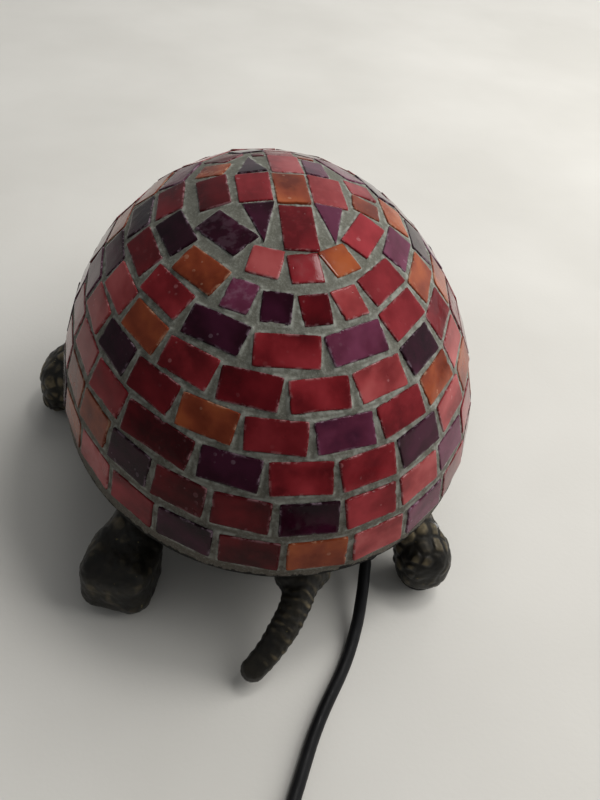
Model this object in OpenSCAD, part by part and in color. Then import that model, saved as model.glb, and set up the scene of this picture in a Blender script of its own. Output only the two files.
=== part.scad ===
// Turtle table lamp: a mosaic glass shell on a cast turtle base.
// Millimetres, +Z up, +Y towards the head, +X to the turtle's right.
// The origin is on the floor, under the middle of the turtle without its lead.

/* [Shell] */
// Half of the shell's width over the tiles, at its rim
shell_half = 81.5; // [80:0.5:82]
// Length of the shell over its width
oval = 1.244; // [1.23:0.002:1.25]
// Height of the shell over the tiles, above its rim
shell_high = 87.5; // [86:0.5:89]
// Thickness of the glass dome that carries the mosaic
dome_wall = 2.5; // [2:0.1:3]
// How far the grout lies below the faces of the tiles
grout_depth = 1; // [0.8:0.1:1.4]

/* [Tiles] */
// Length of a full tile
tile_long = 20; // [19:0.25:20.5]
// Height of a tile in the upper rows, and the side of a half tile
tile_short = 10.4; // [10:0.1:10.6]
// Thickness of a tile
tile_thick = 3; // [2.6:0.1:3]
// Joint between neighbouring tiles
tile_joint = 2.4; // [2:0.1:2.6]

/* [Base] */
// Height of the ledge that the shell stands on
ledge_z = 37; // [36.5:0.5:38]
// Height of the tray's skirt above the floor
skirt_z = 6; // [5:0.5:6]
// Thickness of the bottom plate
plate_thick = 2; // [1.5:0.5:2]
// Thickness of the lampholder's bracket
bracket_thick = 2; // [1.5:0.5:2]

/* [Light and lead] */
// Diameter of the light bulb's ball
bulb_d = 45; // [40:1:45]
// Diameter of the lead
cord_d = 4.4; // [4:0.1:4.6]
// Length of the in-line switch
switch_long = 60; // [56:1:62]
// Tilt of the switch's rocker at rest
rocker_tilt = 7; // [4:1:8]

/* [Hidden] */

$fn = 96;
hull_fn = 32;
eps = 0.02;

// The middle of the shell, seen from above, lies behind the middle of the turtle.
dome_y = -14;
shell_mid = [0, dome_y, ledge_z];

// Half widths and heights of the layers of the shell, from the outside in.
grout_half = shell_half - grout_depth;
grout_high = shell_high - grout_depth;
glue_gap = 0.3;
pocket_gap = 0.12;
grout_fn = 56;
dome_half = shell_half - tile_thick - glue_gap;
dome_high = shell_high - tile_thick - glue_gap;
inner_half = dome_half - dome_wall;
inner_high = dome_high - dome_wall;

// The rows of tiles, from the rim up: height of the row's middle above the rim, height of its
// tiles, the angle of its first tile (0 is behind, 90 is the right side), and its tiles in order.
// R red, D ruby, P plum, V violet, A amber, K rose. A capital is a full tile, a small letter half a
// tile, and L is one and a half ruby tiles.
ROWS = [
    [10.4, 11.6, 4, "AKVRDPRAKRPDRVARPDRKPAKRPD"],
    [24.6, 11.2, 1.5, "PRKVRADRPKRDAPRDVRKPRAAPDD"],
    [37, 10.6, -0.5, "RRPKADRVRPDKRARPDVRKRLP"],
    [47.7, 10.4, -7, "RVRAKDRPRVADRPKRDVKPDA"],
    [57.3, 10.4, 5, "RKPRAVDRPRKDVRAPKARD"],
    [66, 10.4, -4.5, "RVRAPDRKVRDAPDRP"],
    [73.2, 10.4, 7, "dkRVAPRDRKVDPAvp"],
    [79.6, 10.4, 6, "raRakVdrpdaDPk"]
];
// How much higher the rows run at the sides than behind, and on the left than in the middle.
row_rise = 3;
row_lean = 1.25;
ring_step = 5;

// The crown: middle of each tile from the shell's middle, its size, its shape and its colour.
// A square-cut tile is 0, a triangle with its point to the rear is -1, and to the front is 1.
CROWN = [
    [3, -25.8, 11.2, 20.6, 0, "R"],
    [3, -4.4, 11.4, 19.4, 0, "A"],
    [3.5, 16.4, 11.2, 18.8, 0, "K"],
    [3.2, 31.4, 10.2, 8.8, 0, "R"],
    [-9, -22.6, 10.8, 19.4, -1, "P"],
    [-9.6, -2.8, 11.4, 18.8, 0, "R"],
    [-9, 17, 10.6, 18, 1, "P"],
    [14.8, -22.6, 10, 18.4, -1, "V"],
    [15.8, -3.6, 11.8, 18.8, 0, "K"],
    [14.2, 15.2, 8.2, 15.4, 0, "V"],
    [-5.3, 28.8, 4, 4.6, 0, "D"],
    [12.6, 28.1, 6, 4.6, 0, "A"]
];

// Profile of the oval tray: distance from the middle across its width, and height.
TRAY = [
    [60, skirt_z], [65, 11.5], [71, 22], [76.5, 31], [78.5, 34], [78.5, ledge_z],
    [74.6, ledge_z], [74.6, ledge_z + 4.5], [72.2, ledge_z + 4.5], [72.2, 33], [67.5, 23],
    [61.5, 12.4], [61, 11], [50, 11], [50, skirt_z + plate_thick],
    [57.6, skirt_z + plate_thick], [57.6, skirt_z]
];
pad_high = 1;
head_rings = 24;
head_sides = 20;
eye_x = 10.6;
eye_y = 122;
eye_z = 38;
tail_rings = 30;
tail_sides = 16;
tail_ribs = 9;
tail_root = 6.2;
tail_tip = 4.1;
TAIL = [[5, -94, 21], [6, -119, 22], [-19, -132.4, 2.8]];

// Middle of each foot on the floor: front left, front right, rear left, rear right.
FEET = [[-81.5, 13], [81.5, 13], [-59, -89], [53, -93]];

// Screws into the head, the tail and the legs: direction, distance from the middle, and height.
BODY_SCREWS = [
    [90, 93.5, 24], [-88, 90, 19], [155, 78.2, 22], [25, 78.2, 22], [-128, 84.8, 22], [-52, 84.8, 22]
];
PLATE_SCREWS = [[-40, 32], [40, 32], [-40, -60], [40, -60]];

TRAY_OUTLINE = [[0, 0], [60, 0], for (i = [0:5]) TRAY[i], [78.5, 60], [0, 60]];
flange_z = 11;

// The lampholder and bulb stand upright on the bracket in the middle of the shell.
bracket_top = flange_z + bracket_thick;
holder_z = bracket_top;
cap_top = holder_z + 14;
shell_top = holder_z + 37;
bulb_z = holder_z + 20;
bulb_cap_high = 18;
ball_z = bulb_z + bulb_cap_high + 22;

// The lead leaves through a bushing in the tray's rear wall, on the right of the tail.
gland_x = 31;
gland_y = -90;
gland_z = 11.5;
gland_in = -76;

// The lead's route: from the bushing, down to the floor and away to the in-line switch.
lead_z = cord_d / 2;
switch_x = -14;
switch_y = -208;
switch_high = 16;
cord_in = 3;
cord_bore = cord_d + 0.6;
LEAD = [
    [31, gland_y, gland_z], [31, -91.5, gland_z], [30.6, -94, 11], [29.8, -97, 10],
    [28.5, -102, 8.5], [27, -107, 6.8],
    [25, -113, 4.5], [22, -120, 2.8], [18.5, -127, lead_z], [14.3, -134, lead_z], [10, -140.5, lead_z],
    [6, -147, lead_z], [2.6, -153.2, lead_z], [-0.3, -159.2, lead_z], [-3, -165, lead_z],
    [-5.6, -170.5, lead_z], [-8.4, -177, lead_z], [-11, -184, lead_z + 0.6], [-13, -191.5, 4],
    [-13.8, -199, 6.4], [switch_x, -204, 7.6], [switch_x, switch_y, switch_high / 2],
    [switch_x, switch_y - cord_in, switch_high / 2]
];
link_y = switch_y - switch_long;
coil_x = 11;
coil_y = -322;
coil_ring = 25;
coil_wide = 15.6;
coil_high = 18;
LINK = [
    [switch_x, link_y + cord_in, switch_high / 2], [switch_x, link_y, switch_high / 2],
    [-14.1, link_y - 5, 7.3], [-14.8, link_y - 12, 5.2], [-16, link_y - 19, 3.2],
    [-17.5, link_y - 26, lead_z], [-18.8, link_y - 34, lead_z], [-19.4, link_y - 44, lead_z]
];
plug_x = 41.4;
plug_y = -282;
plug_high = 14;
END = [
    [plug_x, coil_y + 8, 15.7], [plug_x, coil_y + 14, 15.6], [plug_x, coil_y + 21, 14],
    [plug_x, coil_y + 28, 11], [plug_x, coil_y + 34, 8],
    [plug_x, plug_y - 2, plug_high / 2], [plug_x, plug_y, plug_high / 2]
];

// Leads inside the base. The wires enter the lampholder's cap at wire_z.
wire_z = 20;
INNER = [
    [gland_x, gland_y, gland_z], [gland_x, -83, gland_z], [gland_x, gland_in, gland_z], [31, -73, 11.8],
    [30.4, -69, 13], [29, -64, 15], [27.4, -59, 16], [26, -54, 16],
    [26, -47, 16], [26, -40.2, 16]
];
WIRE_A = [
    [24.6, -40, 16], [24.2, -36, 16.2], [21.6, -30, 17.4], [16.8, -25.4, 19], [12.6, -21, 20], [8, -19.2, 20],
    [3, -20.2, 20], [-2, -20, 20], [-5.6, -18.4, 20], [-6.8, -16, 20]
];
WIRE_B = [
    [27.4, -40, 16], [27.4, -35, 16.4], [26, -26, 18], [21.5, -19, 19.4], [16.4, -15.6, 20], [11, -14.1, 20],
    [8.8, -14, 20]
];
WALL_HOLES = [[8, -19.2, -21.4], [11, -14.1, -16]];

// ---------------------------------------------------------------- colours

function glass_colour(c) =
    c == "R" ? "#a3161f" :
    c == "D" ? "#5e0d16" :
    c == "P" ? "#2e1026" :
    c == "V" ? "#6a2f5a" :
    c == "A" ? "#b8481a" : "#c44a58";
bronze = "#2b231b";
steel = "#b4b6b8";
brass = "#b99a4c";
black = "#141414";

// ---------------------------------------------------------------- shell geometry

// Upper half of an oval shell of the given half width and height.
module half_egg(half, high, facets = 128) {
    intersection() {
        scale([1, oval, high / half]) sphere(r = half, $fn = facets);
        translate([-150, -150, 0]) cube([300, 300, 150]);
    }
}

function unit(v) = v / norm(v);

// A point of the tiles' outer surface, at angle t behind the middle and height z above the rim.
function shell_reach(z) = sqrt(1 - pow(z / shell_high, 2));
function shell_point(t, z) = [
    shell_half * shell_reach(z) * sin(t),
    -shell_half * oval * shell_reach(z) * cos(t),
    z
];
function shell_height(x, y) = shell_high * sqrt(1 - pow(x / shell_half, 2) - pow(y / (shell_half * oval), 2));
function shell_normal(p) = unit([
    p[0] / pow(shell_half, 2), p[1] / pow(shell_half * oval, 2), p[2] / pow(shell_high, 2)
]);

// Stands its children on the shell: x along the row, y up the shell, z outwards.
module on_shell(p, along) {
    n = shell_normal(p);
    u = unit(cross(n, along));
    a = cross(u, n);
    multmatrix([
        [a[0], u[0], n[0], p[0]],
        [a[1], u[1], n[1], p[1]],
        [a[2], u[2], n[2], p[2]]
    ])
        children();
}

// A tile, or with a gap round it the pocket that it lies in.
module slab(wide, high, gap) {
    translate([-wide / 2 - gap, -high / 2 - gap, -tile_thick - 10 * gap])
        cube([wide + 2 * gap, high + 2 * gap, tile_thick + 20 * gap]);
}

module wedge(wide, high, way, gap) {
    w = wide / 2 + 2 * gap;
    h = high / 2 + gap;
    translate([0, 0, -tile_thick - 10 * gap])
        linear_extrude(tile_thick + 20 * gap)
            polygon([[-w, -way * h], [w, -way * h], [0, way * (h + 3 * gap)]]);
}

// ---------------------------------------------------------------- rows of tiles

function is_half(c) = ord(c) >= 97;
function tile_wide(c) = is_half(c) ? tile_short : c == "L" ? 1.4 * tile_long : tile_long;
function tile_letter(c) = is_half(c) ? chr(ord(c) - 32) : c == "L" ? "D" : c;
function total(v, i = 0) = i == len(v) ? 0 : v[i] + total(v, i + 1);

// Height of a row's middle at angle t, and how fast it changes with the angle.
function row_height(row, t) = row[0] + row_rise * pow(sin(t), 2) - row_lean * sin(t);
function row_slope(t) = row_rise * sin(2 * t) - row_lean * cos(t);

// Degrees of angle per millimetre round the shell at angle t.
function turn_rate(t, z) =
    180 / PI / (shell_reach(z) * shell_half * sqrt(pow(cos(t), 2) + pow(oval * sin(t), 2)));

function row_rate(row, t) = turn_rate(t, row_height(row, t));
function step_on(row, t, far) = t + far * row_rate(row, t + far / 2 * row_rate(row, t));

// Length of a row all the way round the shell.
function row_length(row) = total([for (t = [0:ring_step:359]) ring_step / row_rate(row, t)]);

// How much a row's tiles stretch or shrink so that the row closes.
function row_fit(row) = row_length(row) / total([for (c = row[3]) tile_wide(c) + tile_joint]);

function row_angles(row, fit, i = 0, t = 0) =
    i == len(row[3]) ? [] :
    let (gap = (tile_wide(row[3][i]) + tile_wide(row[3][(i + 1) % len(row[3])])) / 2 + tile_joint)
    concat([t], row_angles(row, fit, i + 1, step_on(row, t, gap * fit)));

module row_tiles(k, letter, gap) {
    row = ROWS[k];
    fit = row_fit(row);
    angles = row_angles(row, fit, 0, row[2]);
    for (i = [0:len(angles) - 1]) {
        c = row[3][i];
        t = angles[i];
        z = row_height(row, t);
        slope = row_slope(t) / shell_half / shell_reach(z);
        if (letter == "" || tile_letter(c) == letter)
            on_shell(shell_point(t, z), [cos(t), oval * sin(t), slope])
                slab((tile_wide(c) + tile_joint) * fit - tile_joint, row[1], gap);
    }
}

module crown_tiles(letter, gap) {
    for (c = CROWN)
        if (letter == "" || c[5] == letter)
            on_shell([c[0], c[1], shell_height(c[0], c[1])], [1, 0, 0])
                if (c[4] == 0) slab(c[2], c[3], gap);
                else wedge(c[2], c[3], c[4], gap);
}

module tiles(letter, gap = 0) {
    for (k = [0:len(ROWS) - 1]) row_tiles(k, letter, gap);
    crown_tiles(letter, gap);
}

module coloured_tiles(letter) {
    color(glass_colour(letter)) translate(shell_mid) tiles(letter);
}

// ---------------------------------------------------------------- shade

module shade_dome() {
    color("#e9e4da", 0.6)
        translate(shell_mid)
            difference() {
                half_egg(dome_half, dome_high);
                translate([0, 0, -eps]) half_egg(inner_half, inner_high);
            }
}

// The grout is a lattice round the tiles. It is stretched to its true size over the facets' chords.
module grout() {
    color("#77736a")
        translate(shell_mid)
            resize([2 * grout_half, 2 * grout_half * oval, grout_high])
                difference() {
                    half_egg(grout_half, grout_high, grout_fn);
                    translate([0, 0, -eps])
                        half_egg(dome_half + glue_gap, dome_high + glue_gap, grout_fn);
                    tiles("", pocket_gap);
                }
}

shade_dome();
grout();
coloured_tiles("R");  // tiles_red
coloured_tiles("D");  // tiles_ruby
coloured_tiles("P");  // tiles_plum
coloured_tiles("V");  // tiles_violet
coloured_tiles("A");  // tiles_amber
coloured_tiles("K");  // tiles_rose

// ---------------------------------------------------------------- cast base

module at_shell_mid() {
    translate([0, dome_y, 0]) children();
}

module oval_turned(points) {
    scale([1, oval, 1]) rotate_extrude(convexity = 6) polygon(points);
}

// Everything inside the tray's outer face, which the castings round it are cut back to.
module tray_room() {
    at_shell_mid() oval_turned(TRAY_OUTLINE);
}

module base_tray() {
    color(bronze)
        difference() {
            union() {
                at_shell_mid() oval_turned(TRAY);
                // Boss round the bushing
                translate([gland_x, gland_in, gland_z])
                    rotate([90, 0, 0])
                        cylinder(h = gland_in - gland_y - 1.5, d = 12);
            }
            translate([gland_x, gland_in + 5, gland_z])
                rotate([90, 0, 0])
                    cylinder(h = 30, d = 8);
            gland_seat();
            // Spot face for the bushing's outer flange
            translate([gland_x, gland_y + 1.5, gland_z])
                rotate([90, 0, 0])
                    cylinder(h = 20, d = 11.2);
            for (p = BODY_SCREWS)
                body_screw_place(p) {
                    cylinder(h = 24, d = 3.2, center = true);
                    translate([0, 0, -20]) cylinder(h = 11.2, d = 6.2);
                }
            for (p = PLATE_SCREWS) translate([p[0], p[1], 0]) cylinder(h = 20, d = 2.6);
            for (x = [-56, 56]) translate([x, dome_y, 0]) cylinder(h = 20, d = 2.6);
        }
}

// Room for the bushing's inner flange and for the lead, from the tray's wall inwards.
module gland_seat() {
    translate([gland_x, gland_in + 16, gland_z])
        rotate([90, 0, 0])
            cylinder(h = 16, d = 11.2);
}

module blob(p, size, turn = 0) {
    translate(p) rotate([0, 0, turn]) scale(size / size[0]) sphere(r = size[0]);
}

// A leg: a thigh against the tray, a round foot on the floor, and the claws that point outwards.
// foot is the middle of the foot on the floor, and turn is where its claws point.
module leg(thigh, foot, wide, long, turn) {
    color(bronze)
        difference() {
            union() {
                blob([thigh[0], thigh[1], 22], [19, 17, 12.5], turn);
                blob([foot[0], foot[1], 11.5], [long - 1, wide, 13.5], turn);
                for (k = [-1:1])
                    translate([foot[0], foot[1], 0])
                        rotate([0, 0, turn + 34 * k])
                            translate([long - 4.2 - abs(k), 0, 5])
                                sphere(r = 4.6);
            }
            tray_room();
            translate([-150, -150, pad_high - 30]) cube([300, 300, 30]);
            for (p = BODY_SCREWS) body_screw_place(p) cylinder(h = 24, d = 3.2, center = true);
        }
}

module leg_front_left() { leg([-74, 20], FEET[0], 14, 17, 172); }
module leg_front_right() { leg([74, 20], FEET[1], 14, 17, 8); }
module leg_rear_left() { leg([-57, -76], FEET[2], 14, 15.5, 222); }
module leg_rear_right() { leg([54, -79], FEET[3], 11.5, 13, -52); }

module foot_pads() {
    color(black)
        for (p = FEET) translate([p[0], p[1], 0]) cylinder(h = pad_high, d = 14);
}

// The head and neck: round sections along a line from inside the tray to the snout.
function head_point(u) = [0, 72 + 61.7 * u, 24 + 9.5 * pow(sin(90 * min(1, u / 0.8)), 2) - 3 * pow(u, 6)];
function head_width(u) = (20 + 11.6 * pow(sin(180 * max(0, (u - 0.25) / 0.75)), 2) - pow(u, 5))
    * sqrt(1 - pow(max(0, (u - 0.8) / 0.203), 2));

module head() {
    color(bronze)
        difference() {
            tube(
                [for (k = [0:head_rings]) head_point(k / head_rings)],
                [for (k = [0:head_rings]) head_width(k / head_rings)],
                head_sides
            );
            tray_room();
            for (x = [-1, 1]) translate([x * eye_x, eye_y, eye_z]) sphere(r = 3.6);
            for (p = BODY_SCREWS) body_screw_place(p) cylinder(h = 24, d = 3.2, center = true);
        }
}

module eyes() {
    color("#1b1512")
        for (x = [-1, 1]) translate([x * eye_x, eye_y, eye_z]) sphere(r = 3.5);
}

// The ribbed tail: it shrinks along a curve down to a round tip near the floor.
function tail_point(u) = pow(1 - u, 2) * TAIL[0] + 2 * u * (1 - u) * TAIL[1] + pow(u, 2) * TAIL[2];
function tail_width(u) =
    let (taper = tail_root + (tail_tip - tail_root) * u, tip = max(0, (u - 0.9) / 0.101))
    2 * taper * (1 + 0.02 * cos(360 * tail_ribs * u)) * sqrt(1 - tip * tip);

module tail() {
    color(bronze)
        difference() {
            tube(
                [for (k = [0:tail_rings]) tail_point(k / tail_rings)],
                [for (k = [0:tail_rings]) tail_width(k / tail_rings)],
                tail_sides
            );
            tray_room();
            for (p = BODY_SCREWS) body_screw_place(p) cylinder(h = 24, d = 3.2, center = true);
        }
}

// Screws from inside the tray hold the head, the tail and the legs.
module body_screw_place(p) {
    translate([0, dome_y, p[2]])
        rotate([0, 0, p[0]])
            translate([p[1], 0, 0])
                rotate([0, 90, 0])
                    children();
}

module body_screws() {
    color(steel)
        for (p = BODY_SCREWS)
            body_screw_place(p) {
                translate([0, 0, -9]) cylinder(h = 18, d = 3.1);
                translate([0, 0, -11]) cylinder(h = 2.2, d = 5.6);
            }
}

module base_plate() {
    color("#1d1b19")
        difference() {
            translate([0, dome_y, skirt_z]) scale([1, oval, 1]) cylinder(h = plate_thick, r = 57.3);
            gland_seat();
            for (p = PLATE_SCREWS) translate([p[0], p[1], 0]) cylinder(h = 20, d = 3.4);
        }
}

module plate_screws() {
    color(steel)
        for (p = PLATE_SCREWS)
            translate([p[0], p[1], 0]) {
                translate([0, 0, skirt_z - 1.6]) cylinder(h = 1.6, d = 6);
                translate([0, 0, skirt_z]) cylinder(h = flange_z - skirt_z - 0.4, d = 2.5);
            }
}

// ---------------------------------------------------------------- lampholder and bulb

module bracket() {
    color(steel)
        difference() {
            translate([-60, dome_y - 9, flange_z]) cube([120, 18, bracket_thick]);
            translate([0, dome_y, 0]) cylinder(h = 40, d = 10.2);
            for (x = [-56, 56]) translate([x, dome_y, 0]) cylinder(h = 40, d = 3.4);
        }
}

module bracket_screws() {
    color(steel)
        for (x = [-56, 56])
            translate([x, dome_y, 0]) {
                translate([0, 0, bracket_top]) cylinder(h = 2, d = 5.6);
                translate([0, 0, 8.4]) cylinder(h = bracket_top - 8.4, d = 2.5);
            }
}

// A tube standing on the lamp's axis, from one height to another.
module lamp_tube(low, high, outer, inner = 0) {
    translate([0, dome_y, low])
        difference() {
            cylinder(h = high - low, d = outer);
            if (inner > 0) translate([0, 0, -1]) cylinder(h = high - low + 2, d = inner);
        }
}

module socket_nipple() {
    color(brass) lamp_tube(8.3, holder_z + 4.4, 9.9, 7);
}

module nipple_nut() {
    color(brass)
        difference() {
            translate([0, dome_y, 8.6]) cylinder(h = 2.4, d = 16, $fn = 6);
            translate([0, dome_y, 0]) cylinder(h = 20, d = 10);
        }
}

module socket_cap() {
    color(black)
        difference() {
            lamp_tube(holder_z, cap_top, 25);
            lamp_tube(holder_z - 1, holder_z + 5, 10);
            lamp_tube(holder_z + 4.6, cap_top + 1, 20);
            for (w = WALL_HOLES)
                translate([w[0], w[1], wire_z])
                    rotate([0, 90, w[2]])
                        translate([0, 0, -2]) cylinder(h = 20, d = 3.4);
        }
}

module socket_shell() {
    color(black)
        difference() {
            lamp_tube(cap_top, shell_top, 23.4, 18);
            lamp_tube(cap_top + 2, cap_top + 4, 40, 22.4);
        }
}

module socket_ring() {
    color(black) lamp_tube(cap_top + 9, cap_top + 15, 29, 23.5);
}

module socket_thread() {
    color(brass) {
        lamp_tube(cap_top + 3, shell_top - 2, 15.4, 14.4);
        lamp_tube(cap_top + 3, cap_top + 3.8, 18, 14.4);
    }
}

module socket_contact() {
    color(brass)
        translate([-4, dome_y - 2, 0]) {
            translate([0, 0, holder_z + 4.6]) cube([8, 4, 1]);
            translate([0, 0, holder_z + 4.6]) cube([0.8, 4, bulb_z - holder_z - 7]);
            translate([0, 0, bulb_z - 2.9]) cube([8, 4, 0.8]);
        }
}

module terminal_screws() {
    color(brass)
        for (x = [-6.8, 6.8])
            translate([x, dome_y, holder_z + 4.6]) {
                cylinder(h = 4, d = 3.6);
                translate([0, 0, 4]) cylinder(h = 1.6, d = 5);
            }
}

module bulb_glass() {
    color("#f4efe2", 0.8)
        difference() {
            bulb_form(bulb_d / 2, 12.4 / 2);
            bulb_form(bulb_d / 2 - 0.8, 10.8 / 2, 0.8);
        }
}

// A ball that narrows into a straight neck inside the cap.
module bulb_form(r, neck, lift = 0) {
    translate([0, dome_y, 0]) {
        translate([0, 0, ball_z]) sphere(r = r);
        translate([0, 0, bulb_z + 4 + lift]) cylinder(h = ball_z - bulb_z - 10, r = neck);
        translate([0, 0, bulb_z + bulb_cap_high + 0.3 + lift / 2])
            cylinder(h = 6, r1 = neck, r2 = neck + 8.4);
    }
}

module bulb_cap() {
    color(brass) lamp_tube(bulb_z + 2, bulb_z + bulb_cap_high, 13.8, 12.6);
}

module bulb_insulator() {
    color(black) lamp_tube(bulb_z + 0.4, bulb_z + 2, 12, 5);
}

module bulb_contact() {
    color(steel)
        translate([0, dome_y, bulb_z]) {
            cylinder(h = 2, d = 4.9);
            translate([0, 0, 0.2]) sphere(d = 4);
        }
}

module bulb_stem() {
    color("#e8ece8", 0.6)
        translate([0, dome_y, bulb_z + 5]) {
            cylinder(h = 16, d = 5);
            translate([0, 0, 16]) cylinder(h = 12, d = 2.4);
        }
}

module bulb_filament() {
    color("#8a8a8a")
        translate([0, dome_y, bulb_z + 36])
            difference() {
                rotate_extrude() translate([7, 0]) circle(d = 0.8, $fn = 24);
                translate([-20, -20, -2]) cube([40, 16, 4]);
            }
}

// ---------------------------------------------------------------- leads

// Points on a smooth curve through a route's points, a few to each stretch.
function curve_point(a, b, c, d, u) =
    0.5 * (2 * b + (c - a) * u + (2 * a - 5 * b + 4 * c - d) * u * u + (3 * b - a - 3 * c + d) * u * u * u);

function smooth(route, parts) =
    let (last = len(route) - 1)
    concat(
        [for (i = [0:last - 1]) for (k = [0:parts - 1])
            curve_point(route[max(i - 1, 0)], route[i], route[i + 1], route[min(i + 2, last)], k / parts)],
        [route[last]]
    );

function heading(path, i) = unit(path[min(i + 1, len(path) - 1)] - path[max(i - 1, 0)]);

// A closed round tube along a path, as one polyhedron. Its width is a number, or one for each point.
module tube(path, width, sides) {
    n = len(path);
    rings = [
        for (i = [0:n - 1])
            let (
                ahead = heading(path, i),
                side = unit(cross(ahead, [0, 0, 1])),
                up = cross(side, ahead),
                reach = (is_list(width) ? width[i] : width) / 2 / cos(180 / sides)
            )
            for (k = [0:sides - 1])
                let (a = 360 * (k + 0.5) / sides)
                path[i] + reach * (side * cos(a) + up * sin(a))
    ];
    faces = concat(
        [[for (k = [sides - 1:-1:0]) k]],
        [for (i = [0:n - 2]) for (k = [0:sides - 1])
            let (j = (k + 1) % sides)
            [i * sides + k, i * sides + j, (i + 1) * sides + j, (i + 1) * sides + k]],
        [[for (k = [0:sides - 1]) (n - 1) * sides + k]]
    );
    polyhedron(rings, faces);
}

module cord_gland() {
    color(black)
        translate([gland_x, gland_in, gland_z])
            rotate([90, 0, 0])
                difference() {
                    union() {
                        translate([0, 0, -1.6]) cylinder(h = 1.5, d = 10.4);
                        translate([0, 0, -0.2]) cylinder(h = gland_in - gland_y - 1.2, d = 7.9);
                        translate([0, 0, gland_in - gland_y - 1.4]) cylinder(h = 1.4, d = 10.4);
                    }
                    translate([0, 0, -5]) cylinder(h = 30, d = cord_bore);
                }
}

module cord_inner() { color(black) tube(smooth(INNER, 2), cord_d, 8); }
module cord_lead() { color(black) tube(smooth(LEAD, 2), cord_d, 8); }
module cord_link() { color(black) tube(smooth(LINK, 2), cord_d, 8); }
module cord_end() { color(black) tube(smooth(END, 2), cord_d, 8); }
module wire_live() { color("#5a3418") tube(smooth(WIRE_A, 3), 2, 8); }
module wire_neutral() { color("#1f4f9a") tube(smooth(WIRE_B, 3), 2, 8); }

// The clamp on the bottom plate that keeps a pull on the lead off the terminals.
module cord_clamp() {
    color(black)
        difference() {
            translate([18, -50, skirt_z + plate_thick]) cube([16, 10, 13]);
            translate([26, -55, 16]) rotate([-90, 0, 0]) cylinder(h = 30, d = cord_bore);
            for (x = [20.4, 31.6]) translate([x, -45, 0]) cylinder(h = 40, d = 2.6);
        }
}

module clamp_screws() {
    color(steel)
        for (x = [20.4, 31.6])
            translate([x, -45, 0]) {
                translate([0, 0, 21]) cylinder(h = 1.6, d = 4.2);
                translate([0, 0, 10]) cylinder(h = 11, d = 2.5);
            }
}

// The coil of spare lead: the outer shape of its turns.
module cord_coil() {
    color(black)
        translate([coil_x, coil_y, 0])
            rotate_extrude()
                translate([coil_ring - coil_wide / 2, 0])
                    offset_square(coil_wide, coil_high, 4);
}

module offset_square(wide, high, round) {
    union() {
        translate([round, 0]) square([wide - 2 * round, high]);
        translate([0, round]) square([wide, high - 2 * round]);
        for (x = [round, wide - round], y = [round, high - round])
            translate([x, y]) circle(r = round, $fn = 48);
    }
}

module cord_tie() {
    color("#202020")
        translate([coil_x - 4, coil_y - coil_ring, 0])
            difference() {
                translate([0, -coil_wide / 2 - 1.6, 0]) cube([8, coil_wide + 3.2, coil_high + 1.3]);
                translate([-1, -coil_wide / 2 - 0.7, -1]) cube([10, coil_wide + 1.4, coil_high + 1.4]);
            }
}

// ---------------------------------------------------------------- in-line switch

switch_wide = 24;
switch_mid = switch_y - switch_long / 2;

module switch_outline(wide, long) {
    hull()
        for (y = [-1, 1])
            translate([0, y * (long / 2 - wide * 0.32)]) circle(d = wide * 0.64, $fn = 64);
    translate([-wide / 2, -long / 2 + 9]) square([wide, long - 18]);
}

SWITCH_SCREWS = [[7.4, 15], [-7.4, -15]];
switch_wall = 2;
rocker_z = switch_high - 2;

module switch_half(low, high) {
    floor_z = low > 0 ? -1 : switch_wall;
    translate([switch_x, switch_mid, low])
        difference() {
            union() {
                difference() {
                    linear_extrude(high - low) switch_outline(switch_wide, switch_long);
                    translate([0, 0, floor_z])
                        linear_extrude(high - low - switch_wall + 1)
                            switch_outline(switch_wide - 2 * switch_wall, switch_long - 2 * switch_wall);
                }
                for (p = SWITCH_SCREWS) translate([p[0], p[1], 0.5]) cylinder(h = high - low - 0.5, d = 5.4);
            }
            translate([0, 0, switch_high / 2 - low])
                rotate([90, 0, 0])
                    cylinder(h = 100, d = cord_bore, center = true);
            for (p = SWITCH_SCREWS)
                translate([p[0], p[1], low > 0 ? -1 : switch_wall - eps]) cylinder(h = 7, d = 2.6);
        }
}

module switch_bottom() {
    color(black)
        difference() {
            switch_half(0, switch_high / 2);
            for (p = SWITCH_SCREWS)
                translate([switch_x + p[0], switch_mid + p[1], -1]) cylinder(h = 1 + switch_wall, d = 4.8);
        }
}

module switch_top() {
    color(black)
        difference() {
            union() {
                switch_half(switch_high / 2, switch_high);
                // Ribs that carry the rocker's pin
                for (x = [-8.4, 6]) translate([switch_x + x, switch_mid - 4, 10]) cube([2.4, 8, 5]);
            }
            translate([switch_x - 6, switch_mid - 10, 0]) cube([12, 20, 40]);
            translate([switch_x, switch_mid, rocker_z])
                rotate([0, 90, 0])
                    cylinder(h = 17, d = 3.1, center = true);
        }
}

module switch_screws() {
    color(steel)
        for (p = SWITCH_SCREWS)
            translate([switch_x + p[0], switch_mid + p[1], 0.6]) {
                cylinder(h = 1.4, d = 4.4);
                cylinder(h = 12, d = 2.5);
            }
}

module switch_rocker() {
    color("#1c1c1c")
        translate([switch_x, switch_mid, rocker_z])
            rotate([rocker_tilt, 0, 0]) {
                intersection() {
                    translate([-5.6, -9.2, -3]) cube([11.2, 18.4, 8]);
                    translate([0, 0, -21]) rotate([0, 90, 0]) cylinder(h = 30, r = 24.6, center = true);
                }
                rotate([0, 90, 0]) cylinder(h = 15.2, d = 3, center = true);
            }
}

// ---------------------------------------------------------------- plug

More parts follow.
